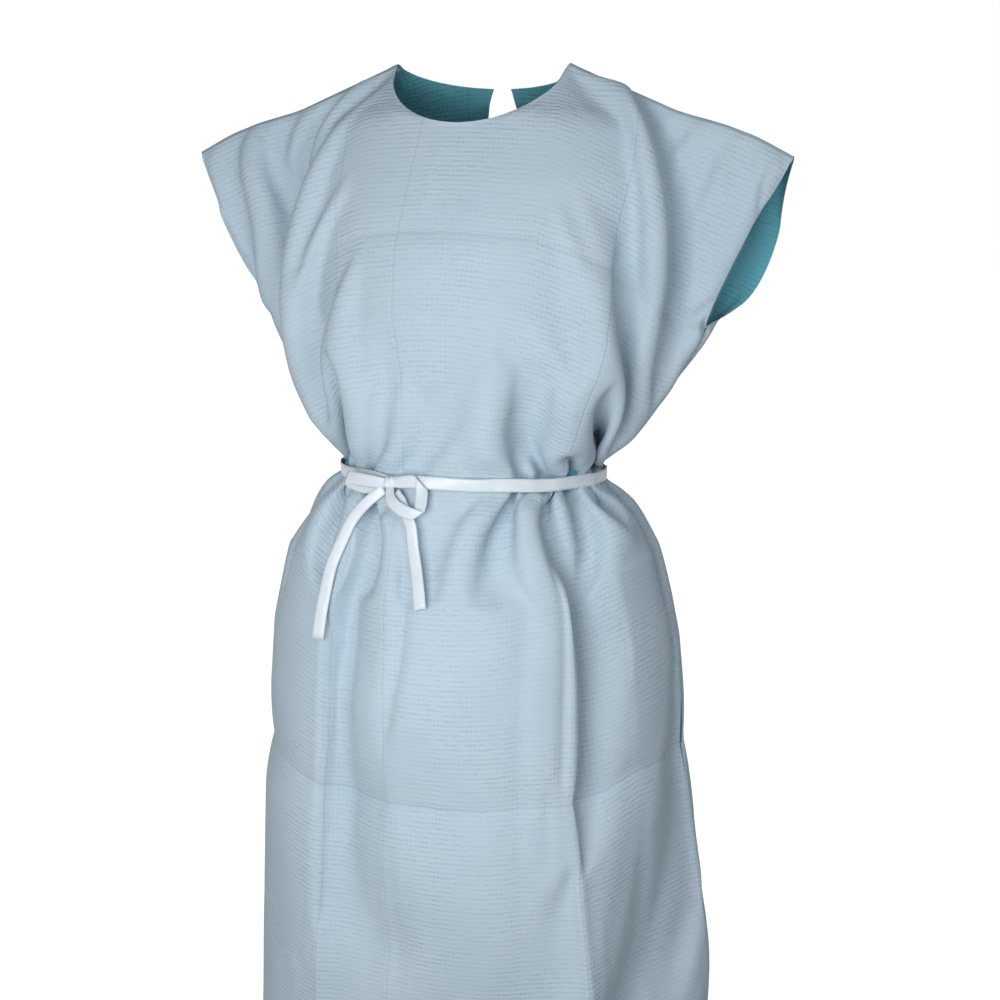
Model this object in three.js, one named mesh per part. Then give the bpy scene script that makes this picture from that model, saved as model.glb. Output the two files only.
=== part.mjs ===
// A disposable patient gown, worn: three plies of tissue, film and tissue, open down the
// back, with cap sleeves, bonded seams and a film belt tied in a bow at the front.
// Millimetres, +Z up. The gown faces -Y and +X is the wearer's left. The origin is midway
// between the two neck points of the shoulder line, where shoulders or a hanger hold it.

import * as THREE from 'three';

// Driving dimensions of the garment as it hangs.
const neckHalfWidth = 90;
const neckFrontDepth = 56;
const neckFrontReach = 74;
const neckBackDepth = 24;
const neckBackReach = 58;
const sleeveTipX = 313;
const sleeveTipDrop = 88;
const sleeveTopX = 215;
const underarmZ = -250;
const armholeHalfDepth = 42;
const beltZ = -401;
const backHemLift = 40;

// Half width, front depth and back depth of the hanging garment at each height. seam is how far
// back the side seam lies, and square is 2 for an oval front and more for a boxier one.
const profile = [
  { z: -250, width: 233, front: 132, back: 108, seam: 0, square: 2 },
  { z: -325, width: 184, front: 132, back: 94, seam: 0, square: 2 },
  { z: -370, width: 156, front: 126, back: 84, seam: 0, square: 2 },
  { z: -392, width: 136, front: 118, back: 78, seam: 0, square: 2 },
  { z: -410, width: 136, front: 118, back: 78, seam: 0, square: 2 },
  { z: -435, width: 176, front: 134, back: 96, seam: 0, square: 2 },
  { z: -500, width: 192, front: 143, back: 120, seam: 6, square: 2.2 },
  { z: -560, width: 204, front: 149, back: 136, seam: 14, square: 2.4 },
  { z: -740, width: 219, front: 158, back: 156, seam: 19, square: 2.4 },
  { z: -1030, width: 232, front: 166, back: 170, seam: 26, square: 2.4 },
];

// Half width of the open slit down the back, at the neck, the belt and the hem.
const slit = [
  { z: 0, gap: 9 },
  { z: -250, gap: 16 },
  { z: -401, gap: 10 },
  { z: -1030, gap: 28 },
];

// Each ply is 0.4 thick and the next lies 0.3 away. Offsets are from the film's inner face.
const plies = [
  { name: 'outer_tissue', inside: 0.7, outside: 1.1, color: '#b9d2de', roughness: 0.9 },
  { name: 'barrier_film', inside: 0, outside: 0.4, color: '#d5e3ea', roughness: 0.35 },
  { name: 'inner_tissue', inside: -0.7, outside: -0.3, color: '#5f9fae', roughness: 0.9 },
];

const jointGap = 0.5;
const seamReach = 5;
const seamInside = -2.2;
const seamOutside = -1.8;
const ridgeGap = 1.6;

const beltHalfWidth = 6.5;
const beltInside = 1.5;
const beltOutside = 2.3;
const ribbonThickness = 0.8;
const knot = new THREE.Vector3(-53, -117, -403);

const sleeveTopShare = sleeveTopX / sleeveTipX;
const neckShare = neckHalfWidth / sleeveTipX;
const flapTopZ = -560;

const gown = new THREE.Group();

function material(color, roughness) {
  return new THREE.MeshStandardMaterial({ color, roughness, metalness: 0 });
}

function addPiece(name, geometry, color, roughness) {
  const mesh = new THREE.Mesh(geometry, material(color, roughness));
  mesh.name = name;
  gown.add(mesh);
}

function valueAt(table, z, key) {
  const last = table.length - 1;
  let below = table.findIndex((row) => row.z <= z);
  if (below === 0) return table[0][key];
  if (below < 0) below = last;
  const upper = table[below - 1];
  const lower = table[below];
  const share = THREE.MathUtils.clamp((upper.z - z) / (upper.z - lower.z), 0, 1);
  return THREE.MathUtils.lerp(upper[key], lower[key], share);
}

// The garment below the armholes is an oval ring at each height. around runs from 0 at the
// front or back middle to 1 at the side seam; side is -1 for the front and 1 for the back.
function ringPoint(around, z, side) {
  const angle = (around * Math.PI) / 2;
  const seam = valueAt(profile, z, 'seam');
  const isFront = side < 0;
  const depth = isFront ? valueAt(profile, z, 'front') + seam : valueAt(profile, z, 'back') - seam;
  const power = isFront ? 2 / valueAt(profile, z, 'square') : 1;
  const turned = isFront ? Math.abs(angle) : Math.PI - Math.abs(angle);
  const low = THREE.MathUtils.smoothstep(-z, 740, 1030);
  const lift = low * backHemLift * (1 - Math.cos(turned));
  const sine = Math.sign(angle) * Math.abs(Math.sin(angle)) ** power;
  const cosine = Math.abs(Math.cos(angle)) ** power;
  const x = valueAt(profile, z, 'width') * sine;
  return new THREE.Vector3(x, seam + side * depth * cosine, z + lift);
}

// The top edge: the round neck inside neckShare, then the sloping shoulder line.
function topPoint(around, side) {
  const share = Math.abs(around);
  const x = sleeveTipX * around;
  if (share >= neckShare) {
    const along = (share - neckShare) / (1 - neckShare);
    return new THREE.Vector3(x, 0, -sleeveTipDrop * along);
  }
  const inward = Math.sqrt(1 - (share / neckShare) ** 2);
  const reach = side < 0 ? neckFrontReach : neckBackReach;
  const depth = side < 0 ? neckFrontDepth : neckBackDepth;
  return new THREE.Vector3(x, side * reach * inward, -depth * inward);
}

// The yoke between the top edge (down = 0) and the underarm level (down = 1).
function yokePoint(around, down, side) {
  const top = topPoint(around, side);
  const bottom = ringPoint(around, underarmZ, side);
  const point = top.clone().lerp(bottom, down);
  const swell = 1 - (1 - down) ** 2;
  const armhole = armholeHalfDepth * Math.sin(Math.PI * down) * around * around;
  point.y = top.y * (1 - swell) + bottom.y * swell + side * armhole;
  return point;
}

// The share of the width at which the body ends and the sleeve begins.
function sleeveLine(down) {
  return sleeveTopShare + (1 - sleeveTopShare) * down * down;
}

// Closes a grid of points into a thin shell between two offsets along its normals.
function shell(rows, inside, outside) {
  const rowCount = rows.length;
  const columnCount = rows[0].length;
  const normals = rows.map((row) => row.map(() => new THREE.Vector3()));
  for (let i = 0; i < rowCount - 1; i += 1) {
    for (let j = 0; j < columnCount - 1; j += 1) {
      const across = rows[i][j + 1].clone().sub(rows[i + 1][j]);
      const down = rows[i + 1][j + 1].clone().sub(rows[i][j]);
      const normal = down.cross(across).normalize();
      for (const [a, b] of [[i, j], [i + 1, j], [i, j + 1], [i + 1, j + 1]]) {
        normals[a][b].add(normal);
      }
    }
  }
  const positions = [];
  for (const offset of [outside, inside]) {
    for (let i = 0; i < rowCount; i += 1) {
      for (let j = 0; j < columnCount; j += 1) {
        const normal = normals[i][j].clone().normalize();
        positions.push(...rows[i][j].clone().addScaledVector(normal, offset).toArray());
      }
    }
  }
  const innerStart = rowCount * columnCount;
  const at = (i, j) => i * columnCount + j;
  const index = [];
  const quad = (a, b, c, d) => index.push(a, b, c, a, c, d);
  for (let i = 0; i < rowCount - 1; i += 1) {
    for (let j = 0; j < columnCount - 1; j += 1) {
      const corners = [at(i, j), at(i + 1, j), at(i + 1, j + 1), at(i, j + 1)];
      const [a, b, c, d] = corners.map((corner) => corner + innerStart);
      quad(...corners);
      quad(a, d, c, b);
    }
  }
  const rim = [];
  for (let j = 0; j < columnCount - 1; j += 1) rim.push([at(0, j), at(0, j + 1)]);
  for (let i = 0; i < rowCount - 1; i += 1) {
    rim.push([at(i, columnCount - 1), at(i + 1, columnCount - 1)]);
  }
  for (let j = columnCount - 1; j > 0; j -= 1) {
    rim.push([at(rowCount - 1, j), at(rowCount - 1, j - 1)]);
  }
  for (let i = rowCount - 1; i > 0; i -= 1) rim.push([at(i, 0), at(i - 1, 0)]);
  for (const [a, b] of rim) quad(a, b, b + innerStart, a + innerStart);
  const geometry = new THREE.BufferGeometry();
  geometry.setAttribute('position', new THREE.Float32BufferAttribute(positions, 3));
  geometry.setIndex(index);
  geometry.computeVertexNormals();
  return geometry;
}

function addPlies(name, rows) {
  for (const ply of plies) {
    const geometry = shell(rows, ply.inside, ply.outside);
    addPiece(`${name}_${ply.name}`, geometry, ply.color, ply.roughness);
  }
}

function steps(count, from, to) {
  return Array.from({ length: count + 1 }, (_, i) => from + ((to - from) * i) / count);
}

const yokeSteps = [0, 0.08, 0.22, 0.4, 0.6, 0.8, 1];
const bodiceHeights = [-290, -325, -370, -392, -410];
const hipHeights = [-435, -500, flapTopZ];
const skirtHeights = [-650, -740, -835, -930, -1030];

// Columns of a half panel at one height of the yoke. The neck point keeps a column.
const neckColumns = 3;
const halfColumns = 7;

function columnShare(column, down) {
  const spread = (column - neckColumns) / (halfColumns - neckColumns);
  const atTop = column <= neckColumns
    ? (neckShare * column) / neckColumns
    : THREE.MathUtils.lerp(neckShare, sleeveTopShare, spread);
  const atUnderarm = column / halfColumns;
  const share = THREE.MathUtils.lerp(atTop, atUnderarm, down * down);
  return column === halfColumns ? sleeveLine(down) : share;
}

// Half a row, from the middle to the side, kept clear of its neighbours by the joint gap.
function halfRow(side, down, z) {
  const row = [];
  for (let column = 0; column <= halfColumns; column += 1) {
    const inYoke = z === undefined;
    const share = inYoke ? columnShare(column, down) : column / halfColumns;
    const trimmed = column === halfColumns ? share - jointGap / sleeveTopX : share;
    const point = inYoke ? yokePoint(trimmed, down, side) : ringPoint(trimmed, z, side);
    if (inYoke && down === 0 && column >= neckColumns) point.y = side * ridgeGap;
    row.push(point);
  }
  return row;
}

function mirrored(row) {
  return row.map((point) => new THREE.Vector3(-point.x, point.y, point.z));
}

function panelRows(side, heights) {
  const yoke = yokeSteps.map((down) => halfRow(side, down));
  return yoke.concat(heights.map((z) => halfRow(side, 1, z)));
}

// Front panel, from one side seam to the other.
const frontHeights = bodiceHeights.concat(hipHeights, skirtHeights);
const frontRows = panelRows(-1, frontHeights).map((row) => {
  const right = mirrored(row).reverse();
  return right.slice(0, -1).concat(row);
});
addPlies('front_panel', frontRows);

// Moves the inner edge of a back row out to the edge of the slit.
function slitEdge(row) {
  const trimmed = row.map((point) => point.clone());
  const gap = valueAt(slit, row[0].z, 'gap');
  const next = trimmed[1];
  const share = gap / next.x;
  trimmed[0].lerp(next, share);
  trimmed[0].x = gap;
  return trimmed;
}

// The back is two halves. Below flapTopZ each half is a flap that can swing open.
const backRows = panelRows(1, bodiceHeights.concat(hipHeights)).map(slitEdge);
const flapRows = [flapTopZ - jointGap].concat(skirtHeights)
  .map((z) => slitEdge(halfRow(1, 1, z)));
for (const sideName of ['left', 'right']) {
  const isLeft = sideName === 'left';
  const orient = (row) => (isLeft ? row.slice().reverse() : mirrored(row));
  addPlies(`back_${sideName}_panel`, backRows.map(orient));
  addPlies(`back_${sideName}_skirt`, flapRows.map(orient));
}

// A sleeve runs from the back of the armhole over the shoulder line to the front.
const sleeveEnd = 0.95;
const sleeveColumns = 3;
const sleeveSteps = [-sleeveEnd, -0.8, -0.6, -0.4, -0.2, -0.07, 0, 0.07, 0.2, 0.4, 0.6, 0.8,
  sleeveEnd];

function sleevePoint(step, across) {
  const down = Math.abs(step);
  const start = sleeveLine(down) + jointGap / sleeveTopX;
  const share = THREE.MathUtils.lerp(start, 1, across);
  return yokePoint(share, down, step < 0 ? 1 : -1);
}

const sleeveRows = sleeveSteps.map((step) => steps(sleeveColumns, 0, 1)
  .map((across) => sleevePoint(step, across)));
addPlies('left_sleeve', sleeveRows);
addPlies('right_sleeve', sleeveRows.map((row) => mirrored(row).reverse()));

// Bond lines under the shoulder line: one on each side of the neck and one in each sleeve.
function shoulderSeam(fromShare, toShare) {
  const reach = 0.03;
  return [-reach, 0, reach].map((step) => steps(4, fromShare, toShare)
    .map((share) => yokePoint(share, Math.abs(step), step < 0 ? 1 : -1)));
}

// Bond line inside a side seam, from the armhole to the hem.
const sideSeamRows = [underarmZ - 6].concat(bodiceHeights, hipHeights, skirtHeights)
  .map((z) => {
    const turn = seamReach / valueAt(profile, z, 'front') / (Math.PI / 2);
    const front = ringPoint(1 - turn, z, -1);
    const middle = ringPoint(1, z, -1);
    const back = ringPoint(1 - turn, z, 1);
    return [front, middle, back];
  });

const seamColor = '#a9c4d1';
const seamSpans = [
  ['shoulder_seam', neckShare + 0.02, sleeveTopShare - 0.02],
  ['sleeve_seam', sleeveTopShare + 0.02, 0.95],
];
for (const sideName of ['left', 'right']) {
  const orient = (row) => (sideName === 'left' ? row : mirrored(row).reverse());
  const addSeam = (name, rows) => {
    const geometry = shell(rows.map(orient), seamInside, seamOutside);
    addPiece(`${sideName}_${name}`, geometry, seamColor, 0.6);
  };
  for (const [name, from, to] of seamSpans) addSeam(name, shoulderSeam(from, to));
  addSeam('side_seam', sideSeamRows);
}

// Belt: a closed band of film ribbon round the waist.
const beltColor = '#e6ebf2';
const beltRoughness = 0.3;
const waist = {
  width: valueAt(profile, beltZ, 'width'),
  front: valueAt(profile, beltZ, 'front'),
  back: valueAt(profile, beltZ, 'back'),
};

function beltOutline(offset, reversed) {
  const count = 44;
  const points = [];
  for (let i = 0; i < count; i += 1) {
    const angle = (2 * Math.PI * i) / count;
    const depth = Math.sin(angle) < 0 ? waist.front : waist.back;
    const x = (waist.width + offset) * Math.cos(angle);
    points.push(new THREE.Vector2(x, (depth + offset) * Math.sin(angle)));
  }
  return reversed ? points.reverse() : points;
}

const beltShape = new THREE.Shape(beltOutline(beltOutside, false));
beltShape.holes.push(new THREE.Path(beltOutline(beltInside, true)));
const beltBand = new THREE.ExtrudeGeometry(beltShape, {
  depth: 2 * beltHalfWidth,
  bevelEnabled: false,
});
beltBand.translate(0, 0, beltZ - beltHalfWidth);
addPiece('belt_band', beltBand, beltColor, beltRoughness);

// The knot: a rounded lump of ribbon on the band.
const knotSize = new THREE.Vector3(10, 5, 8);
const knotLump = new THREE.SphereGeometry(1, 12, 8);
knotLump.scale(knotSize.x, knotSize.y, knotSize.z);
knotLump.translate(knot.x, knot.y, knot.z);
addPiece('belt_knot', knotLump, beltColor, beltRoughness);

// A ribbon lies along a list of points with its face turned to the given direction.
function ribbon(points, facing, stepsAlong) {
  const curve = new THREE.CatmullRomCurve3(points, false, 'centripetal');
  const rows = steps(stepsAlong, 0, 1).map((share) => {
    const middle = curve.getPointAt(share);
    const across = new THREE.Vector3().crossVectors(curve.getTangentAt(share), facing);
    across.setLength(beltHalfWidth);
    return [middle.clone().sub(across), middle.clone().add(across)];
  });
  return shell(rows, 0, ribbonThickness);
}

// Both tails leave the knot and hang against the skirt.
const tailFacing = new THREE.Vector3(0, -1, 0);
const rightTailPath = [
  [-70, -121, -417],
  [-81, -122, -427],
  [-93, -123, -442],
  [-102, -125, -461],
  [-110, -131, -482],
  [-113, -136, -497],
  [-118, -143, -531],
  [-121, -147, -559],
].map((point) => new THREE.Vector3(...point));
const leftTailPath = [
  [-38, -128, -418],
  [-33, -131, -426],
  [-28, -135, -434],
  [-24, -137, -442],
  [-21, -140, -460],
  [-16, -145, -480],
  [-11, -152, -499],
  [-7, -158, -517],
].map((point) => new THREE.Vector3(...point));
const tailSteps = 14;
addPiece('right_belt_tail', ribbon(rightTailPath, tailFacing, tailSteps), beltColor, beltRoughness);
addPiece('left_belt_tail', ribbon(leftTailPath, tailFacing, tailSteps), beltColor, beltRoughness);

// A bow loop is a flattened ring of ribbon: a long leaf outline swept across the ribbon width.
function bowLoop(start, direction, length, height, across) {
  const count = 20;
  const wall = ribbonThickness;
  const outline = (grow) => Array.from({ length: count }, (_, i) => {
    const angle = (2 * Math.PI * i) / count;
    const along = (length / 2) * (1 - Math.cos(angle));
    return new THREE.Vector2(along + (grow * (along - length / 2)) / (length / 2),
      (height / 2 + grow) * Math.sin(angle));
  });
  const shape = new THREE.Shape(outline(0));
  shape.holes.push(new THREE.Path(outline(-wall).reverse()));
  const geometry = new THREE.ExtrudeGeometry(shape, {
    depth: 2 * beltHalfWidth,
    bevelEnabled: false,
  });
  geometry.translate(0, 0, -beltHalfWidth);
  const side = new THREE.Vector3().crossVectors(across, direction).normalize();
  const turn = new THREE.Matrix4().makeBasis(direction, side, across);
  turn.setPosition(start);
  return geometry.applyMatrix4(turn);
}

const rightLoopDirection = new THREE.Vector3(-0.955, 0.29, 0.01).normalize();
const rightLoopAcross = new THREE.Vector3(0.01, 0, 1)
  .addScaledVector(rightLoopDirection, -rightLoopDirection.z).normalize();
const rightLoopStart = new THREE.Vector3(-64, -121, -403);
addPiece('right_bow_loop', bowLoop(rightLoopStart, rightLoopDirection, 46, 7, rightLoopAcross),
  beltColor, beltRoughness);

const leftLoopDirection = new THREE.Vector3(0.78, -0.3, -0.55).normalize();
const leftLoopAcross = new THREE.Vector3(0.5, 0, 0.86)
  .addScaledVector(leftLoopDirection, -(0.5 * leftLoopDirection.x + 0.86 * leftLoopDirection.z))
  .normalize();
const leftLoopStart = new THREE.Vector3(-40, -134, -410);
addPiece('left_bow_loop', bowLoop(leftLoopStart, leftLoopDirection, 36, 8, leftLoopAcross),
  beltColor, beltRoughness);

export default gown;
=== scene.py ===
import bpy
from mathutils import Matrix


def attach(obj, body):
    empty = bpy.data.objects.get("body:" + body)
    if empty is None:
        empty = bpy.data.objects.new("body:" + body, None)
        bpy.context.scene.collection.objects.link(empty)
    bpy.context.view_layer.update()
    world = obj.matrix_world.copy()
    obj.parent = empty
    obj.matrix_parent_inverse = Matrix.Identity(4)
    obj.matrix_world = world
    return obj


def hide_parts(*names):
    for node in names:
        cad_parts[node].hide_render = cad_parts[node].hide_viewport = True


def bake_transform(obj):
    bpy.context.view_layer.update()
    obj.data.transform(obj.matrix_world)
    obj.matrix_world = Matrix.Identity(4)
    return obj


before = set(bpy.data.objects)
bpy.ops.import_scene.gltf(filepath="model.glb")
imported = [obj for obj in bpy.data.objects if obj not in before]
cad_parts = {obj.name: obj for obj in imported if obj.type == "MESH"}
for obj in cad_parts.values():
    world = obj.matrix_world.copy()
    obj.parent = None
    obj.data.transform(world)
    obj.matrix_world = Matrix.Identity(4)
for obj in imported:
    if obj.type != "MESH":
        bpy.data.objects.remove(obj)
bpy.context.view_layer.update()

import math
import time

import bpy
import numpy as np
from mathutils import Vector

# A three-ply patient gown hung on unseen shoulders. Lengths in the dictionaries are in
# millimetres in the frame's own axes; meshes are made in metres.
mm = 0.001
started = time.time()


def report(stage):
    print(f"{stage}: {time.time() - started:.0f} s")


camera = {
    "azimuth": 19.85, "elevation": 10.9, "distance": 2099.0, "aimSide": 17.0, "aimZ": -437.6,
    "lens": 73.67, "sensor": 36.0,
}


def makeCamera(c):
    turn, rise = math.radians(c["azimuth"]), math.radians(c["elevation"])
    back = Vector((math.sin(turn) * math.cos(rise), -math.cos(turn) * math.cos(rise), math.sin(rise)))
    aim = Vector((math.cos(turn), math.sin(turn), 0)) * c["aimSide"] + Vector((0, 0, c["aimZ"]))
    data = bpy.data.cameras.new("camera")
    data.lens = c["lens"]
    data.sensor_width = c["sensor"]
    data.clip_end = 50
    obj = bpy.data.objects.new("camera", data)
    bpy.context.scene.collection.objects.link(obj)
    obj.location = (aim + back * c["distance"]) * mm
    obj.rotation_euler = back.to_track_quat("Z", "Y").to_euler()
    bpy.context.scene.camera = obj


makeCamera(camera)


def through(points, steps):
    # a smooth curve through every point
    p = np.concatenate([2 * points[:1] - points[1:2], points, 2 * points[-1:] - points[-2:-1]])
    place = np.linspace(0, len(points) - 1, steps)
    i = np.minimum(place.astype(int), len(points) - 2)
    u = (place - i)[:, None]
    a, b, c, d = (p[i + k] for k in range(4))
    bend, twist = 2 * a - 5 * b + 4 * c - d, 3 * b - a - 3 * c + d
    return 0.5 * (2 * b + (c - a) * u + bend * u ** 2 + twist * u ** 3)


# Both tails hang from the knot; the points are the routes of the CAD tails, in millimetres,
# after a first one under the knot.
tails = {
    "right_belt_tail": {
        "body": "right_tail", "exit": (-58, -118, -407),
        "path": [(-60, -118.5, -409), (-70, -121, -417), (-81, -122, -427), (-93, -123, -442),
                 (-102, -125, -461), (-110, -131, -482), (-113, -136, -497), (-118, -143, -531),
                 (-121, -147, -559)],
    },
    "left_belt_tail": {
        "body": "left_bow", "exit": (-49, -119, -408),
        "path": [(-46, -123, -411), (-38, -128, -418), (-33, -131, -426), (-28, -135, -434),
                 (-24, -137, -442), (-21, -140, -460), (-16, -145, -480), (-11, -152, -499),
                 (-7, -158, -517)],
    },
}


pattern = {
    "halfWidth": 343.0, "length": 1067.0, "armhole": 190.0, "neckFront": 84.0, "neckBack": 55.0,
    "backEdgeTop": 9.0, "backEdge": 40.0, "columns": 23, "neckColumns": 6, "armRows": 12, "rows": 72,
}
hang = {
    "tipX": 313.0, "neckX": 90.0,
    "ridgeX": [90, 200, 245, 278, 313], "ridgeZ": [0, -46, -58, -70, -88],
    "neckReach": [74.0, 58.0], "neckDepth": [56.0, 24.0], "armholeDepth": 42.0, "beltZ": -401.0,
    "z": [-1130, -1030, -740, -560, -500, -435, -410, -392, -370, -325, -250],
    "width": [236, 232, 219, 204, 192, 176, 136, 136, 158, 186, 233],
    "front": [169, 166, 158, 149, 143, 134, 118, 118, 126, 132, 132],
    "back": [174, 170, 156, 136, 120, 96, 78, 78, 84, 94, 108],
    "slitZ": [-1030, -401, -250, 0], "slit": [28, 10, 16, 9],
    "seam": [28, 26, 19, 14, 6, 0, 0, 0, 0, 0, 0],
    "square": [2.4, 2.4, 2.4, 2.4, 2.2, 2, 2, 2, 2, 2, 2],
}
# The wearer's form that the cloth rests on. It isn't part of the gown and isn't kept.
form = {
    "z": [-1200, -800, -720, -620, -510, -455, -425, -401, -352, -300, -240, -170, -110, -60, 0],
    "width": [178, 186, 192, 190, 172, 158, 138, 104, 122, 150, 176, 180, 182, 165, 75],
    "front": [130, 138, 142, 140, 128, 114, 100, 92, 104, 122, 130, 118, 96, 74, 50],
    "back": [118, 130, 132, 130, 110, 86, 66, 54, 66, 82, 92, 94, 86, 66, 42],
    "seam": [20, 18, 16, 12, 6, 0, 0, 0, 0, 0, 0, 0, 0, 0, 0],
    "square": [2.4, 2.4, 2.4, 2.4, 2.2, 2, 2, 2, 2, 2, 2, 2, 2, 2, 2],
}
# How the cloth is laid out at first, and the numbers of its settling. Plates are wide links
# that keep flat cloth from crumpling; "Below" and "Above" are heights.
drape = {
    "beltFront": 432.0, "beltSide": 452.0, "beltBack": 503.0, "smoothHalf": 75.0,
    "gather": 0.375, "beltReach": 75, "pleat": 46.0, "pleatDepth": 0.165, "pleatReach": 60,
    "flute": 118.0, "fluteDepth": 10.0, "fluteRadius": 180, "fall": 0.99, "seamReach": 30,
    "steps": [60, 40], "passes": 9, "gravity": 0.2, "damping": 0.93, "fastest": 6,
    "shear": 0.35, "bend": 0.12, "farBend": 0.06,
    "folds": [-115.0, 165.0], "foldFrom": 490.0, "foldShorter": 0.9, "foldStiff": 0.8,
    "room": 8.0, "beltClear": [7, 45], "formBelow": -45, "drawnBelow": -262, "sleeveAbove": -250,
    "seamBelow": -540, "seamPull": 0.3, "slitRoom": 3,
    "flare": 0.075, "flareFrom": 700, "flareTo": 930, "part": 3, "partFront": 12.0, "partBack": 30.0,
    "lean": -10.0, "leanFrom": 250, "leanTo": 400, "sleeveBulge": 28.0, "soften": 0.25,
    "plateCells": 6, "plate": 0.3, "backPlate": 0.3,
    "plateAbove": 300.0, "plateChest": 130.0, "plateBelow": 550.0,
}


def smooth(x, low, high):
    share = np.clip((x - low) / (high - low), 0, 1)
    return share * share * (3 - 2 * share)


def flatGrid(scale, side):
    p = pattern
    columns, rows, armRows = p["columns"] * scale, p["rows"] * scale, p["armRows"] * scale
    neck = p["neckColumns"] * scale
    if side == 0:
        j = np.arange(-columns, columns + 1)
    else:
        j = side * np.arange(columns + 1)
    even = p["halfWidth"] * j / columns
    neckHalf = p["halfWidth"] * neck / columns
    turn = np.clip(j / neck, -1, 1) * math.pi / 2
    # even steps along the neck's edge
    around = np.where(np.abs(j) < neck, neckHalf * np.sin(turn), even)
    if side:
        around = around + side * p["backEdgeTop"] * np.clip(1 - np.abs(j) / neck, 0, 1)
        even = even + side * p["backEdge"] * (1 - np.abs(j) / columns)
    top = (p["neckFront"] if side == 0 else p["neckBack"]) * np.cos(turn)
    i = np.arange(rows + 1)[:, None]
    s = around + (even - around) * np.clip(i / armRows, 0, 1)
    upper = top + (p["armhole"] - top) * i / armRows
    lower = p["armhole"] + (p["length"] - p["armhole"]) * (i - armRows) / (rows - armRows)
    return np.stack([s, np.where(i <= armRows, upper, lower)], axis=-1)


def beltLine(s, side):
    share = smooth(np.abs(s), 120, pattern["halfWidth"])
    middle = drape["beltFront"] if side == 0 else drape["beltBack"]
    return middle + (drape["beltSide"] - middle) * share


def place(flat, side, armRows):
    s, t = flat[..., 0], flat[..., 1]
    p, h, d = pattern, hang, drape
    away, sign = np.abs(s), np.where(s < 0, -1.0, 1.0)
    neckHalf = p["halfWidth"] * p["neckColumns"] / p["columns"]
    which, turn = (0, -1) if side == 0 else (1, 1)
    # the yoke, from the neck and shoulder line down to the underarm
    beyond = np.clip((away - neckHalf) / (p["halfWidth"] - neckHalf), 0, 1)
    inward = np.sqrt(np.clip(1 - (away / neckHalf) ** 2, 0, 1))
    outX = h["neckX"] + (h["tipX"] - h["neckX"]) * beyond
    topX = np.where(away < neckHalf, away * h["neckX"] / neckHalf, outX)
    outZ = np.interp(topX, h["ridgeX"], h["ridgeZ"])
    topZ = np.where(away < neckHalf, -h["neckDepth"][which] * inward, outZ)
    topY = turn * h["neckReach"][which] * inward
    down = np.clip(np.arange(len(flat))[:, None] / armRows, 0, 1)
    swell = 1 - (1 - down) ** 2
    # the ring below it, drawn in at the belt
    belt = beltLine(s, side)
    above = h["z"][-1] + (h["beltZ"] - h["z"][-1]) * (t - p["armhole"]) / (belt - p["armhole"])
    z = np.where(t < belt, np.minimum(above, h["z"][-1]), h["beltZ"] - (t - belt) * d["fall"])
    near = np.exp(-((z - h["beltZ"]) / d["beltReach"]) ** 2)
    even = away / p["halfWidth"]
    if side:
        edge = p["backEdgeTop"] + (p["backEdge"] - p["backEdgeTop"]) * down
        even = (away - edge) / (p["halfWidth"] - edge)
        slit, width = np.interp(z, h["slitZ"], h["slit"]), np.interp(z, h["z"], h["width"])
        opening = np.arcsin(slit / width) * 2 / math.pi
        even = opening + (1 - opening) * even
    smoothShare = d["gather"] * np.minimum(away, d["smoothHalf"]) / d["smoothHalf"]
    outer = np.clip((away - d["smoothHalf"]) / (p["halfWidth"] - d["smoothHalf"]), 0, 1)
    gathered = smoothShare + (1 - d["gather"]) * outer
    share = even + (gathered - even) * near if side == 0 else even
    angle = share * math.pi / 2
    wander = 0.8 * np.sin(away / 31 + 1.7 * sign) + 0.5 * np.sin(away / 17 + sign + which)
    start = d["smoothHalf"] if side == 0 else 0
    turns = 2 * math.pi * np.clip(away - start, 0, None) / d["pleat"]
    wave = 0.5 - 0.5 * np.cos(turns + wander * (away > start))
    pleat = d["pleatDepth"] * wave * np.exp(-np.abs(z - h["beltZ"]) / d["pleatReach"])
    low = smooth(-z, 470, 900) * (smooth(away, 118, 190) if side == 0 else 1)
    flute = d["fluteDepth"] * low * np.sin(2 * math.pi * away / d["flute"] + wander)
    offSeam = 1 - smooth(away, p["halfWidth"] - d["seamReach"], p["halfWidth"])
    radial = (1 - pleat) + flute * offSeam / d["fluteRadius"]
    seam = np.interp(z, h["z"], h["seam"])
    depth = np.interp(z, h["z"], h["front" if side == 0 else "back"]) - turn * seam
    power = 2 / np.interp(z, h["z"], h["square"]) if side == 0 else 1
    ringX = np.interp(z, h["z"], h["width"]) * np.abs(np.sin(angle)) ** power * radial
    ringY = seam + turn * depth * np.abs(np.cos(angle)) ** power * radial
    under = np.interp(h["z"][-1], h["z"], h["width"]) * np.sin(even * math.pi / 2)
    underY = turn * h["front" if side == 0 else "back"][-1] * np.cos(even * math.pi / 2)
    armhole = turn * h["armholeDepth"] * np.sin(math.pi * down) * even ** 2
    inYoke = np.arange(len(flat))[:, None] <= armRows
    x = np.where(inYoke, topX + (under - topX) * down, ringX)
    y = np.where(inYoke, topY * (1 - swell) + underY * swell + armhole, ringY)
    z = np.where(inYoke, topZ + (h["z"][-1] - topZ) * down, z)
    return np.stack([sign * x + lean(z), y, z], axis=-1)


def lean(z):
    return drape["lean"] * smooth(-z, drape["leanFrom"], drape["leanTo"])


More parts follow.
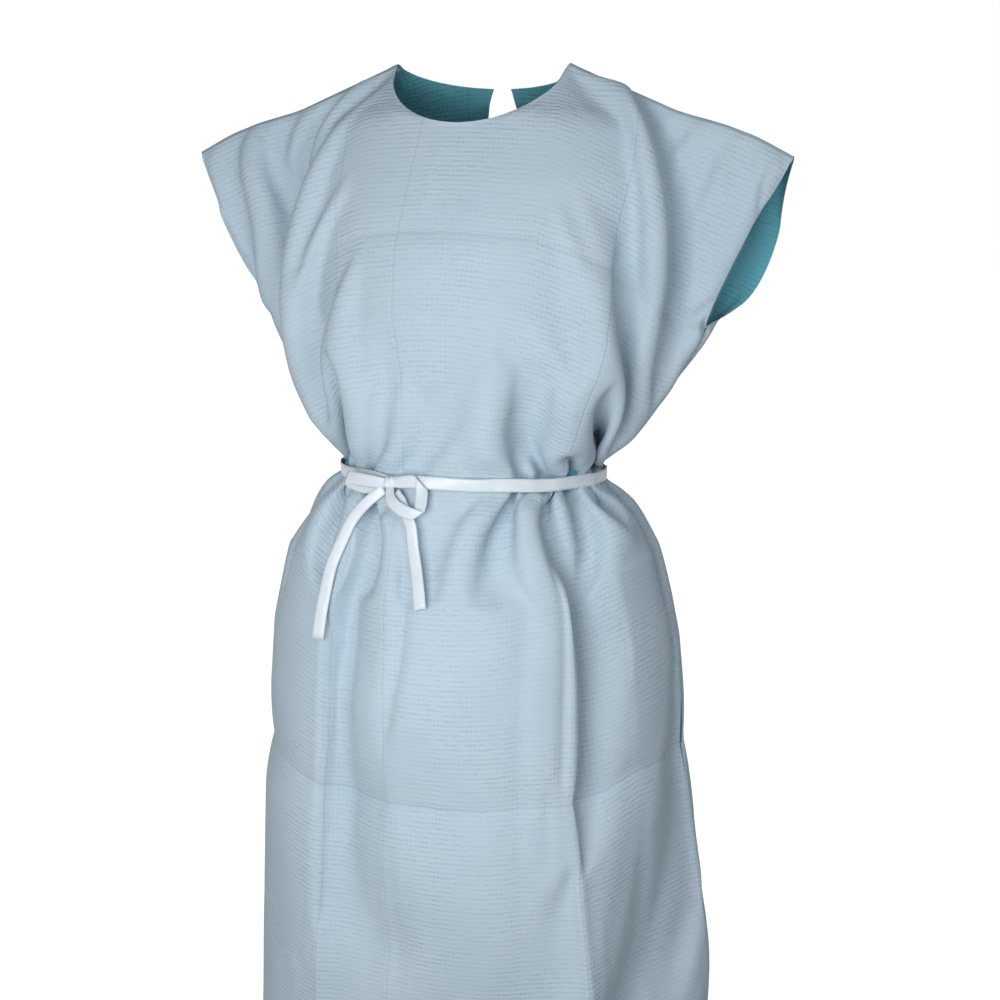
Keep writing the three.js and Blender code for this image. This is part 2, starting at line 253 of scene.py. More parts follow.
def cutCloth(scale):
    p = pattern
    columns, armRows, neck = p["columns"] * scale, p["armRows"] * scale, p["neckColumns"] * scale
    grids, count = [], 0
    for side in (0, 1, -1):
        flat = flatGrid(scale, side)
        index = np.arange(flat[..., 0].size).reshape(flat.shape[:2]) + count
        count += index.size
        grids.append({"side": side, "flat": flat, "index": index})
    front, left, right = (g["index"] for g in grids)
    left[0, neck:] = front[0, columns + neck:]
    right[0, neck:] = front[0, columns - neck::-1]
    left[armRows:, -1] = front[armRows:, -1]
    right[armRows:, -1] = front[armRows:, 0]
    return grids, count


def pairs(grid, di, dj):
    index, flat = grid["index"], grid["flat"]
    rows, columns = index.shape
    first = (slice(0, rows - di), slice(max(0, -dj), columns - max(0, dj)))
    second = (slice(di, rows), slice(max(0, dj), columns + min(0, dj)))
    i, j = np.indices(index[first].shape)
    rest = np.linalg.norm(flat[second] - flat[first], axis=-1)
    middle = (flat[second] + flat[first]) / 2
    return index[first], index[second], rest, middle, i, j


def linkCloth(grids, scale):
    d = drape
    plate = d["plateCells"] * scale
    batches = []
    # rows apart, columns apart, stiffness, and whether the link only pushes
    kinds = [(0, 1, 1.0, False), (1, 0, 1.0, False), (1, 1, d["shear"], False), (1, -1, d["shear"], False),
             (0, 2, d["bend"], True), (2, 0, d["bend"], True), (0, 4, d["farBend"], True),
             (4, 0, d["farBend"], True), (0, plate, d["plate"], True)]
    for grid in grids:
        for di, dj, stiffness, onlyPush in kinds:
            a, b, rest, middle, i, j = pairs(grid, di, dj)
            step = max(di, abs(dj))
            phase = (i if di else j) % (2 * step) < step
            stiff = np.full(rest.shape, stiffness)
            both = np.full(rest.shape, not onlyPush)
            if grid["side"] == 0 and (di, dj) == (0, 2):
                near = min(rest.min() * 0.3, 4)
                folded = np.min([np.abs(middle[..., 0] - fold) for fold in drape["folds"]], axis=0) < near
                folded &= middle[..., 1] > drape["foldFrom"]
                rest = np.where(folded, rest * drape["foldShorter"], rest)
                stiff = np.where(folded, d["foldStiff"], stiff)
                both = both | folded
            if dj == plate:
                low = middle[..., 1] > d["plateBelow"]
                chest = (middle[..., 1] < d["plateAbove"]) & (np.abs(middle[..., 0]) < d["plateChest"])
                stiff = np.where(low | chest, stiff, 0) * (d["backPlate"] if grid["side"] else 1)
                for fold in d["folds"]:
                    stiff = np.where(np.abs(middle[..., 0] - fold) < rest / 2, 0, stiff)
            used = stiff > 0
            for part in (phase & used, ~phase & used):
                batches.append([v[part] for v in (a, b, rest, stiff, both)])
    return batches


def settle(grids, count, start, steps, scale):
    d, h = drape, hang
    points = np.zeros((count, 3))
    for grid, spot in zip(grids, start):
        points[grid["index"]] = spot
    batches = linkCloth(grids, scale)
    pinned = np.zeros(count, bool)
    lower = np.zeros(count, bool)
    slitSide = np.zeros(count)
    parted = np.zeros(count)
    tethers = []
    armRows = np.flatnonzero(grids[0]["flat"][:, 0, 1] >= pattern["armhole"])[0]
    for grid in grids:
        index, flat, side = grid["index"], grid["flat"], grid["side"]
        pinned[index[0]] = True
        beltRow = np.abs(flat[..., 1] - beltLine(flat[..., 0], side)).argmin(axis=0)
        belted = index[beltRow, np.arange(index.shape[1])]
        pinned[belted] = True
        beltFlat = flat[beltRow, np.arange(index.shape[1])]
        tethers.append([index.ravel(), np.broadcast_to(belted, index.shape).ravel(),
                        np.linalg.norm(flat - beltFlat, axis=-1).ravel()])
        above = np.arange(len(index))[:, None] < beltRow
        tethers.append([index[above], np.broadcast_to(index[0], index.shape)[above],
                        np.linalg.norm(flat - flat[0], axis=-1)[above]])
        lower[index[flat[..., 1] >= pattern["armhole"]]] = True
        if side:
            slitSide[index[:, :-4]] = side
        pinned[index[armRows, [0, -1] if side == 0 else [-1]]] = True
        down = np.arange(1, armRows)[:, None] / armRows
        even = np.abs(flat[1:armRows, :, 0]) / pattern["halfWidth"]
        apart = d["part"] + d["partBack" if side else "partFront"] * np.sin(math.pi * down) * even ** 3
        parted[index[1:armRows]] = apart if side else -apart
    seam = np.unique(np.concatenate([grids[0]["index"][:, 0], grids[0]["index"][:, -1]]))
    seamLow = seam[points[seam, 2] < d["seamBelow"]]
    held = points[pinned].copy()
    last = points.copy()
    pull = np.array([0, 0, -d["gravity"]])
    for step in range(steps):
        moved = (points - last) * d["damping"] + pull
        last = points.copy()
        points = points + np.clip(moved, -d["fastest"], d["fastest"])
        for _ in range(d["passes"]):
            for a, b, rest, stiff, both in batches:
                gap = points[b] - points[a]
                size = np.sqrt((gap * gap).sum(axis=1)) + 1e-9
                over = size - rest
                share = np.where(both | (over < 0), 0.5 * stiff * over / size, 0)[:, None]
                points[a] += gap * share
                points[b] -= gap * share
            for a, b, reach in tethers:
                gap = points[a] - points[b]
                size = np.sqrt((gap * gap).sum(axis=1)) + 1e-9
                points[a] = points[b] + gap * np.minimum(1, reach / size)[:, None]
            z = points[:, 2]
            inside = ringShare(points, form, 0)
            push = np.where((inside < 1) & (z < d["formBelow"]), 1 / np.maximum(inside, 0.2), 1)
            centre = np.interp(z, form["z"], form["seam"])
            shift = lean(z)
            points[:, 0] = shift + (points[:, 0] - shift) * push
            points[:, 1] = centre + (points[:, 1] - centre) * push
            centre = np.interp(z, h["z"], h["seam"])
            outside = ringShare(points, hang, d["room"] * smooth(np.abs(z - h["beltZ"]), *d["beltClear"]))
            pinch = np.where(lower & (z < d["drawnBelow"]), 1 / np.maximum(outside, 1), 1)
            points[:, 0] = shift + (points[:, 0] - shift) * pinch
            points[:, 1] = centre + (points[:, 1] - centre) * pinch
            edge = sleeveEdge(points)
            inSleeve = points[:, 2] > d["sleeveAbove"]
            points[:, 0] = np.where(inSleeve, np.clip(points[:, 0], -edge, edge), points[:, 0])
            crossed = (parted != 0) & (points[:, 1] * np.sign(parted) < np.abs(parted))
            points[crossed, 1] = parted[crossed]
            edge = (np.interp(points[:, 2], h["slitZ"], h["slit"]) - d["slitRoom"]) * slitSide
            wrong = (slitSide != 0) & ((points[:, 0] - shift - edge) * slitSide < 0)
            points[wrong, 0] = (edge + shift)[wrong]
            for grid in grids:
                order(points, grid["index"][armRows:], grid["side"])
            seamY = np.interp(points[seamLow, 2], h["z"], h["seam"])
            points[seamLow, 1] += (seamY - points[seamLow, 1]) * d["seamPull"]
            points[pinned] = held
    return [points[grid["index"]] for grid in grids]


def order(points, index, side):
    # along a row the cloth goes on around the body, to keep its folds from lying over one another
    spot = points[index]
    shift = lean(spot[..., 2])
    centre = np.interp(spot[..., 2], hang["z"], hang["seam"])
    way, turn = (side or 1), (1 if side else -1)
    x, y = (spot[..., 0] - shift) * way, (spot[..., 1] - centre) * turn
    angle, reach = np.sort(np.arctan2(x, y), axis=1), np.hypot(x, y)
    spot[..., 0] = shift + way * reach * np.sin(angle)
    spot[..., 1] = centre + turn * reach * np.cos(angle)
    points[index] = spot


def sleeveEdge(points):
    # above the underarm the front edge is straight and the back edge sags a little
    h = hang
    down = np.clip((h["ridgeZ"][-1] - points[:, 2]) / (h["ridgeZ"][-1] - h["z"][-1]), 0, 1)
    bulge = np.where(points[:, 1] > 0, drape["sleeveBulge"] * np.sin(math.pi * down ** 2), 0)
    return h["tipX"] + (h["width"][-1] - h["tipX"]) * down + bulge


def ringShare(points, rings, room):
    x, y, z = points.T
    x = x - lean(z)
    width, front, back, seam, square = (np.interp(z, rings["z"], rings[key]) for key in
                                        ("width", "front", "back", "seam", "square"))
    y = y - seam
    depth = np.where(y < 0, front + seam, back - seam) + room
    square = np.where(y < 0, square, 2)
    return (np.abs(x / (width + room)) ** square + np.abs(y / depth) ** square) ** (1 / square)


def refine(grid):
    def along(g):
        before = np.concatenate([2 * g[:1] - g[1:2], g[:-2]])
        after = np.concatenate([g[2:], 2 * g[-1:] - g[-2:-1]])
        middle = (9 * (g[:-1] + g[1:]) - before - after) / 16
        fine = np.empty((2 * len(g) - 1,) + g.shape[1:])
        fine[::2], fine[1::2] = g, middle
        return fine
    return along(along(grid).swapaxes(0, 1)).swapaxes(0, 1)


def soften(grid):
    inner = grid[1:-1, 1:-1]
    around = (grid[:-2, 1:-1] + grid[2:, 1:-1] + grid[1:-1, :-2] + grid[1:-1, 2:]) / 4
    grid = grid.copy()
    grid[1:-1, 1:-1] = inner + (around - inner) * drape["soften"]
    return grid


grids, count = cutCloth(1)
spots = [place(g["flat"], g["side"], pattern["armRows"]) for g in grids]
spots = settle(grids, count, spots, drape["steps"][0], 1)
report("coarse cloth settled")
grids, count = cutCloth(2)
spots = [refine(spot) for spot in spots]
spots = settle(grids, count, spots, drape["steps"][1], 2)
report("fine cloth settled")
grids, count = cutCloth(4)
spots = [soften(refine(soften(spot))) for spot in spots]
for spot in spots:
    # the skirt stands out further on the wearer's left, towards the hem
    low = smooth(-spot[..., 2], drape["flareFrom"], drape["flareTo"])
    spot[..., 0] += drape["flare"] * np.clip(spot[..., 0] - drape["lean"], 0, None) * low


plies = {
    "outer_tissue": {"offset": 0.35}, "barrier_film": {"offset": 0.0},
    "inner_tissue": {"offset": -0.35},
}


def gridNormals(spot, side):
    down = np.gradient(spot, axis=0)
    across = np.gradient(spot, axis=1)
    normal = np.cross(down, across) * (-1 if side == 1 else 1)
    return normal / (np.linalg.norm(normal, axis=-1, keepdims=True) + 1e-12)


# Creases left by the packet that the gown was folded into: where each line lies on the flat
# cloth, how far along it runs, its height and its reach to each side.
creases = {
    "across": [(192, -1.8, 24), (470, 1.8, 30), (750, -7.0, 60)],
    "along": [(-115, 490, 1067, 2.0, 26), (-35, 700, 1067, 1.4, 14), (-15, 88, 190, 1.4, 12),
              (166, 490, 1067, 3.2, 16), (150, 500, 750, -5.0, 15)],
    "armhole": {"s": [-225, -265], "t": [30, 200], "height": 1.6, "reach": 14},
    "trough": {"s": [-27, -15, -19, -34], "t": [480, 548, 607, 690], "depth": 7.0, "reach": 10},
    "bulge": {"s": 20, "t": 650, "height": 7.0, "reach": [105, 52]},
    "turn": {"from": 166, "top": 500, "slope": 0.4},
    "gather": {"pitch": 23, "height": 2.2, "reach": 26, "from": 60},
}


def between(x, low, high, fade):
    ending = 1 - smooth(x, high - fade, high) if high < pattern["length"] else 1
    return smooth(x, low, low + fade) * ending


def tent(distance, reach):
    return np.clip(1 - np.abs(distance) / reach, 0, 1) ** 2


def pressed(flat, side):
    s, t = flat[..., 0], flat[..., 1]
    height = np.zeros(s.shape)
    for line, size, reach in creases["across"]:
        wander = 3 * np.sin(s / 70 + line) + 1.5 * np.sin(s / 23)
        strength = 0.8 + 0.2 * np.sin(s / 41 + line)
        height += size * strength * tent(t - line - wander, reach)
    fold = creases["gather"]
    away = np.abs(s)
    wave = np.sin(2 * math.pi * s / fold["pitch"] + 1.3 * np.sin(s / 37) + 0.8 * np.sin(t / 19))
    drawn = np.exp(-np.abs(t - beltLine(s, side)) / fold["reach"]) * (0.65 + 0.35 * np.sin(s / 29 + 1))
    height += fold["height"] * wave * drawn * smooth(away, fold["from"], fold["from"] + 30)
    if side:
        return height
    for line, top, bottom, size, reach in creases["along"]:
        wander = 1.5 * np.sin(t / 60 + line)
        height += size * tent(s - line - wander, reach) * between(t, top, bottom, 40)
    fold = creases["armhole"]
    line = np.interp(t, fold["t"], fold["s"])
    height += fold["height"] * tent(s - line, fold["reach"]) * between(t, *fold["t"], 30)
    fold = creases["trough"]
    line = np.interp(t, fold["t"], fold["s"])
    run = between(t, fold["t"][0], fold["t"][-1] + 20, 50)
    height -= fold["depth"] * tent(s - line, 2 * fold["reach"]) * run
    lump = creases["bulge"]
    aside, down = (s - lump["s"]) / lump["reach"][0], (t - lump["t"]) / lump["reach"][1]
    height += lump["height"] * np.exp(-aside ** 2 - down ** 2)
    fold = creases["turn"]
    beyond = np.clip((s - fold["from"]) / (pattern["halfWidth"] - fold["from"]), 0, 1)
    reach = pattern["halfWidth"] - fold["from"]
    turned = fold["slope"] * reach * beyond * (1 - beyond) ** 2
    return height - turned * smooth(t, fold["top"], fold["top"] + 120)


# how far the cloth keeps behind a ribbon tail, and the reach of that to each side
press = {"behind": 2.4, "near": 9.0, "far": 24.0}


def pressUnder(spot, route):
    for x, y, z in route:
        away = np.hypot(spot[..., 0] - x, spot[..., 2] - z)
        under = (1 - smooth(away, press["near"], press["far"])) * (spot[..., 1] < 0)
        spot[..., 1] += np.clip(y + press["behind"] - spot[..., 1], 0, None) * under


normals = [gridNormals(spot, g["side"]) for spot, g in zip(spots, grids)]
heights = [pressed(g["flat"], g["side"])[..., None] for g in grids]
spots = [spot + normal * height for spot, normal, height in zip(spots, normals, heights)]
for tail in tails.values():
    pressUnder(spots[0], through(np.array(tail["path"], float), 24))
# panels that share an edge share its normals, so the plies stay closed there
shared = np.zeros((count, 3))
for spot, g in zip(spots, grids):
    np.add.at(shared, g["index"], gridNormals(spot, g["side"]))
shared /= np.linalg.norm(shared, axis=1, keepdims=True) + 1e-12
normals = [shared[g["index"]] for g in grids]


def makeMesh(name, points, faces, vertexNormals=None, uv=None):
    mesh = bpy.data.meshes.new(name)
    mesh.from_pydata((points * mm).tolist(), [], faces)
    mesh.polygons.foreach_set("use_smooth", [True] * len(mesh.polygons))
    if uv is not None:
        layer = mesh.uv_layers.new(name="flat")
        corner = np.zeros(len(mesh.loops), np.int32)
        mesh.loops.foreach_get("vertex_index", corner)
        layer.data.foreach_set("uv", (uv[corner] * mm).astype(np.float32).ravel())
    if vertexNormals is not None:
        mesh.normals_split_custom_set_from_vertices(vertexNormals.tolist())
    obj = bpy.data.objects.new(name, mesh)
    bpy.context.scene.collection.objects.link(obj)
    return obj


def clothPiece(name, parts, offset):
    points, flats, tilts, faces = [], [], [], []
    count = 0
    for k, mask in parts:
        grid, spot, normal = grids[k], spots[k], normals[k]
        used = np.zeros(spot.shape[:2], bool)
        used[:-1, :-1] |= mask
        used[1:, :-1] |= mask
        used[:-1, 1:] |= mask
        used[1:, 1:] |= mask
        number = np.full(used.shape, -1)
        number[used] = np.arange(used.sum()) + count
        count += used.sum()
        i, j = np.nonzero(mask)
        quad = np.stack([number[i, j], number[i + 1, j], number[i + 1, j + 1], number[i, j + 1]], axis=1)
        faces += (quad[:, ::-1] if grid["side"] == 1 else quad).tolist()
        points.append(spot[used] + normal[used] * offset)
        flats.append(grid["flat"][used])
        tilts.append(normal[used])
    return makeMesh(name, np.concatenate(points), faces, np.concatenate(tilts), np.concatenate(flats))


sleeve = {"topShare": 0.675, "bendFrom": 236.0, "bendTo": 285.0}
skirt = {"flapDown": 640.0, "bendFrom": -600.0, "bendTo": -760.0}


def faceMiddles(grid):
    flat = grid["flat"]
    return (flat[:-1, :-1] + flat[1:, 1:]) / 2


def panelMasks():
    masks = {}
    armRows = pattern["armRows"] * 4
    for k, grid in enumerate(grids):
        middle = faceMiddles(grid)
        i = np.arange(middle.shape[0])[:, None]
        down = np.clip((i + 0.5) / armRows, 0, 1)
        share = sleeve["topShare"] + (1 - sleeve["topShare"]) * down ** 2
        inSleeve = (i < armRows) & (np.abs(middle[..., 0]) / pattern["halfWidth"] > share)
        inFlap = (middle[..., 1] > skirt["flapDown"]) & (grid["side"] != 0)
        masks[k] = (inSleeve, inFlap, middle[..., 0] > 0)
    return masks


masks = panelMasks()
frontSleeve, _, frontLeft = masks[0]
leftSleeve, leftFlap, _ = masks[1]
rightSleeve, rightFlap, _ = masks[2]
panels = {
    "front_panel": [(0, ~frontSleeve)],
    "back_left_panel": [(1, ~leftSleeve & ~leftFlap)],
    "back_right_panel": [(2, ~rightSleeve & ~rightFlap)],
    "left_sleeve": [(0, frontSleeve & frontLeft), (1, leftSleeve)],
    "right_sleeve": [(0, frontSleeve & ~frontLeft), (2, rightSleeve)],
    "back_left_skirt": [(1, leftFlap)],
    "back_right_skirt": [(2, rightFlap)],
}


def srgb(text):
    values = [int(text[i:i + 2], 16) / 255 for i in (1, 3, 5)]
    return tuple(v / 12.92 if v <= 0.04045 else ((v + 0.055) / 1.055) ** 2.4 for v in values) + (1.0,)


def addNode(tree, kind, settings=None, links=None):
    node = tree.nodes.new(kind)
    for key, value in (settings or {}).items():
        if isinstance(key, str) and hasattr(node, key):
            setattr(node, key, value)
        else:
            node.inputs[key].default_value = value
    for key, source in (links or {}).items():
        tree.links.new(source, node.inputs[key])
    return node


def newMaterial(name):
    material = bpy.data.materials.new(name)
    material.use_nodes = True
    tree = material.node_tree
    tree.nodes.clear()
    return material, tree


# Crepe tissue: a matt, thirsty paper pressed into fine broken ribs. The eye reads soft blue with
# no shine, thin shadow lines across the cloth, a paper's crumple and the packet's fold lines. The
# colour has painted shade in the rib grooves and along the fold lines.
tissue = {
    # the inner ply is the same blue tissue: its deeper teal colours are painted shade and painted light seen
    # through the plies
    "outer": ["#bccbd7", "#a9bdca"], "inner": ["#67adbc", "#569cac"], "rib": 4.8, "column": 4.1,
    "ribDepth": 0.3, "cell": 9.0, "roughness": 0.9, "crumple": 15.0, "crumpleDepth": 2.2,
    "foldWidth": 1.6, "foldPaintedShade": 0.3, "foldsAcross": [192, 470, 750], "foldsAlong": [-115, -35, 166],
}


def lineMask(tree, place, at, width):
    away = addNode(tree, "ShaderNodeMath", {"operation": "SUBTRACT", 1: at * mm}, {0: place})
    size = addNode(tree, "ShaderNodeMath", {"operation": "ABSOLUTE"}, {0: away.outputs[0]})
    fade = {1: 0.0, 2: width * mm, 3: 1.0, 4: 0.0}
    return addNode(tree, "ShaderNodeMapRange", fade, {0: size.outputs[0]}).outputs[0]


def ribs(tree, place, pitch):
    perMetre = 2 * math.pi / (pitch * mm)
    turns = addNode(tree, "ShaderNodeMath", {"operation": "MULTIPLY", 1: perMetre}, {0: place})
    return addNode(tree, "ShaderNodeMath", {"operation": "SINE"}, {0: turns.outputs[0]}).outputs[0]


def embossedTissue(name, colours):
    t = tissue
    material, tree = newMaterial(name)

    def maths(operation, first, second, third=None):
        settings, links = {"operation": operation}, {}
        for key, value in enumerate((first, second, third)):
            if value is not None:
                (settings if isinstance(value, float) else links)[key] = value
        return addNode(tree, "ShaderNodeMath", settings, links).outputs[0]

    flat = addNode(tree, "ShaderNodeUVMap", {"uv_map": "flat"}).outputs["UV"]
    axes = addNode(tree, "ShaderNodeSeparateXYZ", None, {0: flat})

    def noise(settings, vector=flat):
        return addNode(tree, "ShaderNodeTexNoise", settings, {"Vector": vector}).outputs["Fac"]

    warp = noise({"Scale": 90.0, "Detail": 3.0})
    across = ribs(tree, maths("MULTIPLY_ADD", warp, 0.003, axes.outputs["Y"]), t["rib"])
    down = ribs(tree, maths("MULTIPLY_ADD", warp, 0.004, axes.outputs["X"]), t["column"])
    stretch = addNode(tree, "ShaderNodeMapping", None, {"Vector": flat})
    stretch.inputs["Scale"].default_value = (1 / (t["cell"] * mm), 1 / (t["rib"] * mm), 1)
    cells = noise({"Scale": 1.0, "Detail": 1.0}, stretch.outputs[0])
    broken = addNode(tree, "ShaderNodeMapRange", {1: 0.35, 2: 0.62}, {0: cells})
    patches = noise({"Scale": 12.0, "Detail": 2.0})
    worn = addNode(tree, "ShaderNodeMapRange", {1: 0.38, 2: 0.6, 3: 0.35, 4: 1.0}, {0: patches})
    weave = maths("MULTIPLY_ADD", down, 0.45, across)
    emboss = maths("MULTIPLY", maths("MULTIPLY", weave, broken.outputs[0]), worn.outputs[0])
    fibre = noise({"Scale": 900.0, "Detail": 4.0})
    fine = maths("MULTIPLY_ADD", fibre, 0.4, emboss)
    folds = None
    for axis, places in (("Y", t["foldsAcross"]), ("X", t["foldsAlong"])):
        line = maths("MULTIPLY_ADD", warp, 0.004, axes.outputs[axis])
        for at in places:
            mask = lineMask(tree, line, at + 2, t["foldWidth"])
            folds = mask if folds is None else maths("MAXIMUM", folds, mask)
    dented = maths("MULTIPLY_ADD", folds, -1.5, fine)
    bump = addNode(tree, "ShaderNodeBump", {"Strength": 0.8, "Distance": t["ribDepth"] * mm},
                   {"Height": dented})
    crease = noise({"noise_type": "RIDGED_MULTIFRACTAL", "Scale": t["crumple"], "Detail": 3.0})
    crumple = addNode(tree, "ShaderNodeBump", {"Strength": 0.5, "Distance": t["crumpleDepth"] * mm},
                      {"Height": crease, "Normal": bump.outputs[0]})
    cloud = noise({"Scale": 9.0, "Detail": 4.0, "Roughness": 0.6})
    spread = addNode(tree, "ShaderNodeMapRange", {1: 0.3, 2: 0.7}, {0: cloud})
    # painted shade: the colour is darker in the rib grooves and lighter on the ridges
    lines = addNode(tree, "ShaderNodeMapRange", {1: -1.0, 2: 1.0, 3: 0.75, 4: -0.35}, {0: emboss})
    tone = maths("MULTIPLY_ADD", spread.outputs[0], 0.5, lines.outputs[0])
    # painted shade: the packet's fold lines are coloured darker, added to the random cloud tone and the rib
    # shade
    toneWithPaintedShade = maths("MULTIPLY_ADD", folds, t["foldPaintedShade"], tone)
    ramp = addNode(tree, "ShaderNodeMix", {"data_type": "RGBA"}, {0: toneWithPaintedShade})
    ramp.inputs[6].default_value, ramp.inputs[7].default_value = srgb(colours[0]), srgb(colours[1])
    shader = addNode(tree, "ShaderNodeBsdfPrincipled",
                     {"Roughness": t["roughness"], "IOR": 1.45, "Specular IOR Level": 0.25,
                      "Sheen Weight": 0.1, "Sheen Roughness": 0.5},
                     {"Base Color": ramp.outputs[2], "Normal": crumple.outputs[0]})
    addNode(tree, "ShaderNodeOutputMaterial", None, {"Surface": shader.outputs[0]})
    return material


# Blown polyethylene film: milky, slightly see-through, with the soft shine of a carrier bag.
# The bond lines are dried glue, rough and almost without shine.
films = {
    "barrier_film": {"name": "milkyBarrierFilm", "colour": "#c4d9e2", "roughness": 0.4, "crumple": 30.0},
    "belt_film": {"name": "whiteRibbonFilm", "colour": "#d3dbe3", "roughness": 0.3, "crumple": 14.0},
    "seam_bond": {"name": "dullBondLine", "colour": "#a9c4d1", "roughness": 0.6, "crumple": 8.0},
}


def blownFilm(f):
    material, tree = newMaterial(f["name"])
    where = addNode(tree, "ShaderNodeTexCoord").outputs["Object"]
    noise = addNode(tree, "ShaderNodeTexNoise", {"Scale": 1000 / f["crumple"], "Detail": 3.0},
                    {"Vector": where})
    height = noise.outputs["Fac"]
    bump = addNode(tree, "ShaderNodeBump", {"Strength": 0.6, "Distance": 1.2 * mm}, {"Height": height})
    gloss = {1: 0.3, 2: 0.7, 3: f["roughness"] - 0.06, 4: f["roughness"] + 0.1}
    tone = addNode(tree, "ShaderNodeMapRange", gloss, {0: height})
    shader = addNode(tree, "ShaderNodeBsdfPrincipled", {"Base Color": srgb(f["colour"]), "IOR": 1.5},
                     {"Roughness": tone.outputs[0], "Normal": bump.outputs[0]})
    addNode(tree, "ShaderNodeOutputMaterial", None, {"Surface": shader.outputs[0]})
    return material


materials = {
    "outer_tissue": embossedTissue("embossedBlueTissue", tissue["outer"]),
    # the inner ply's deeper teal is painted shade and painted light seen through the plies
    "inner_tissue": embossedTissue("embossedTissuePaintedShadeTeal", tissue["inner"]),
    **{slot: blownFilm(facts) for slot, facts in films.items()},
}


def bendSleeve(piece):
    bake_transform(piece)


for panel, parts in panels.items():
    for ply, facts in plies.items():
        node = f"{panel}_{ply}"
        piece = clothPiece(node + "_cloth", parts, facts["offset"])
        piece.data.materials.append(materials[ply])
        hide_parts(node)
        if panel.endswith("sleeve"):
            bendSleeve(piece)
        elif panel.endswith("skirt"):
            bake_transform(piece)
        else:
            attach(piece, "root")
report("plies made")

# Bond lines: a dried strip of glue behind each seam, dull and almost unseen.
bond = {"offset": -0.95, "cells": 2, "neck": 92.0, "split": 231.0, "sleeveEnd": 330.0}


def seamMasks():
    edge, armRows = bond["cells"], pattern["armRows"] * 4
    masks = {}
    for name, way, k in (("left", 1, 1), ("right", -1, 2)):
        for part, low, high in (("shoulder", bond["neck"], bond["split"]),
                                ("sleeve", bond["split"], bond["sleeveEnd"])):
            parts = []
            for grid in (0, k):
                s = faceMiddles(grids[grid])[..., 0] * way
                row = np.arange(s.shape[0])[:, None]
                parts.append((grid, (row < edge) & (s > low) & (s < high)))
            masks[f"{name}_{part}_seam"] = parts
        parts = []
        for grid in (0, k):
            s = faceMiddles(grids[grid])[..., 0] * way
            row, column = np.indices(s.shape)
            nearEdge = column >= s.shape[1] - edge if grid or way > 0 else column < edge
            parts.append((grid, nearEdge & (row >= armRows + 1)))
        masks[f"{name}_side_seam"] = parts
    return masks


for node, parts in seamMasks().items():
    piece = clothPiece(node + "_bond", parts, bond["offset"])
    piece.data.materials.append(materials["seam_bond"])
    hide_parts(node)
    if "sleeve" in node:
        bendSleeve(piece)
    else:
        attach(piece, "root")
report("seams made")


# The belt is one ribbon of film drawn round the waist and tied in a bow.
ribbon = {
    "half": 6.5, "thick": 0.5, "curl": 0.5, "stand": 2.6, "rise": 1.0, "sideDrop": 3.0,
    "knotHalf": 4.4, "knotReach": 13.0, "steps": 10,
}
knot = {"at": (-53.0, -118.5, -403.0), "size": (7.5, 5.0, 6.8), "puckers": 5, "depth": 0.09}


def ribbonMesh(name, middles, halves, closed=False):
    # a thin strip with a little curl across it; a section is a ring of points, face then back
    if closed:
        along = np.roll(middles, -1, axis=0) - np.roll(middles, 1, axis=0)
    else:
        along = np.gradient(middles, axis=0)
    normal = np.cross(along, halves)
    normal = (normal / (np.linalg.norm(normal, axis=1, keepdims=True) + 1e-9))[:, None]
    share = np.linspace(-1, 1, 7)[:, None]
    rows = middles[:, None] + halves[:, None] * share + normal * ribbon["curl"] * (1 - share ** 2)
    back = (rows - normal * ribbon["thick"] / 2)[:, ::-1]
    rings = np.concatenate([rows + normal * ribbon["thick"] / 2, back], axis=1)
    count, around = rings.shape[:2]
    at = np.arange(count * around).reshape(count, around)
    ahead = np.roll(at, -1, axis=0)
    quads = np.stack([at, np.roll(at, -1, axis=1), np.roll(ahead, -1, axis=1), ahead], axis=-1)
    faces = (quads if closed else quads[:-1]).reshape(-1, 4).tolist()
    if not closed:
        faces += [at[0, ::-1].tolist(), at[-1].tolist()]
    return makeMesh(name, rings.reshape(-1, 3), faces)


def beltRing(r):
    turn = np.arange(240) / 240 * 2 * math.pi
    z = hang["beltZ"]
    width, front, back = (np.interp(z, hang["z"], hang[key]) + r["stand"]
                          for key in ("width", "front", "back"))
    ruffle = 0.5 * np.sin(7 * turn + 1) + 0.35 * np.sin(19 * turn) + 0.25 * np.sin(31 * turn + 2)
    x = drape["lean"] + (width + ruffle) * np.cos(turn)
    y = (np.where(turn > math.pi, front, back) + ruffle) * np.sin(turn)
    height = z + r["rise"] - (r["sideDrop"] + r["rise"]) * np.cos(turn) ** 2 + 0.5 * np.sin(11 * turn)
    near = np.exp(-((x - knot["at"][0]) / r["knotReach"]) ** 2) * (y < 0)
    half = r["half"] - (r["half"] - r["knotHalf"]) * near
    tilt = 0.9 * np.sin(9 * turn + 0.5)
    return np.stack([x, y, height], axis=1), np.stack([0 * x, tilt * np.sign(y), half], axis=1)


def foldedRibbon(name, runs):
    # a run is a list of sections, the middle and the half width as x, y, z; runs meet at folds
    sections = [through(np.array(run, float), ribbon["steps"] * (len(run) - 1) + 1) for run in runs]
    path = np.concatenate([sections[0]] + [run[1:] for run in sections[1:]])
    return ribbonMesh(name, path[:, :3], path[:, 3:])


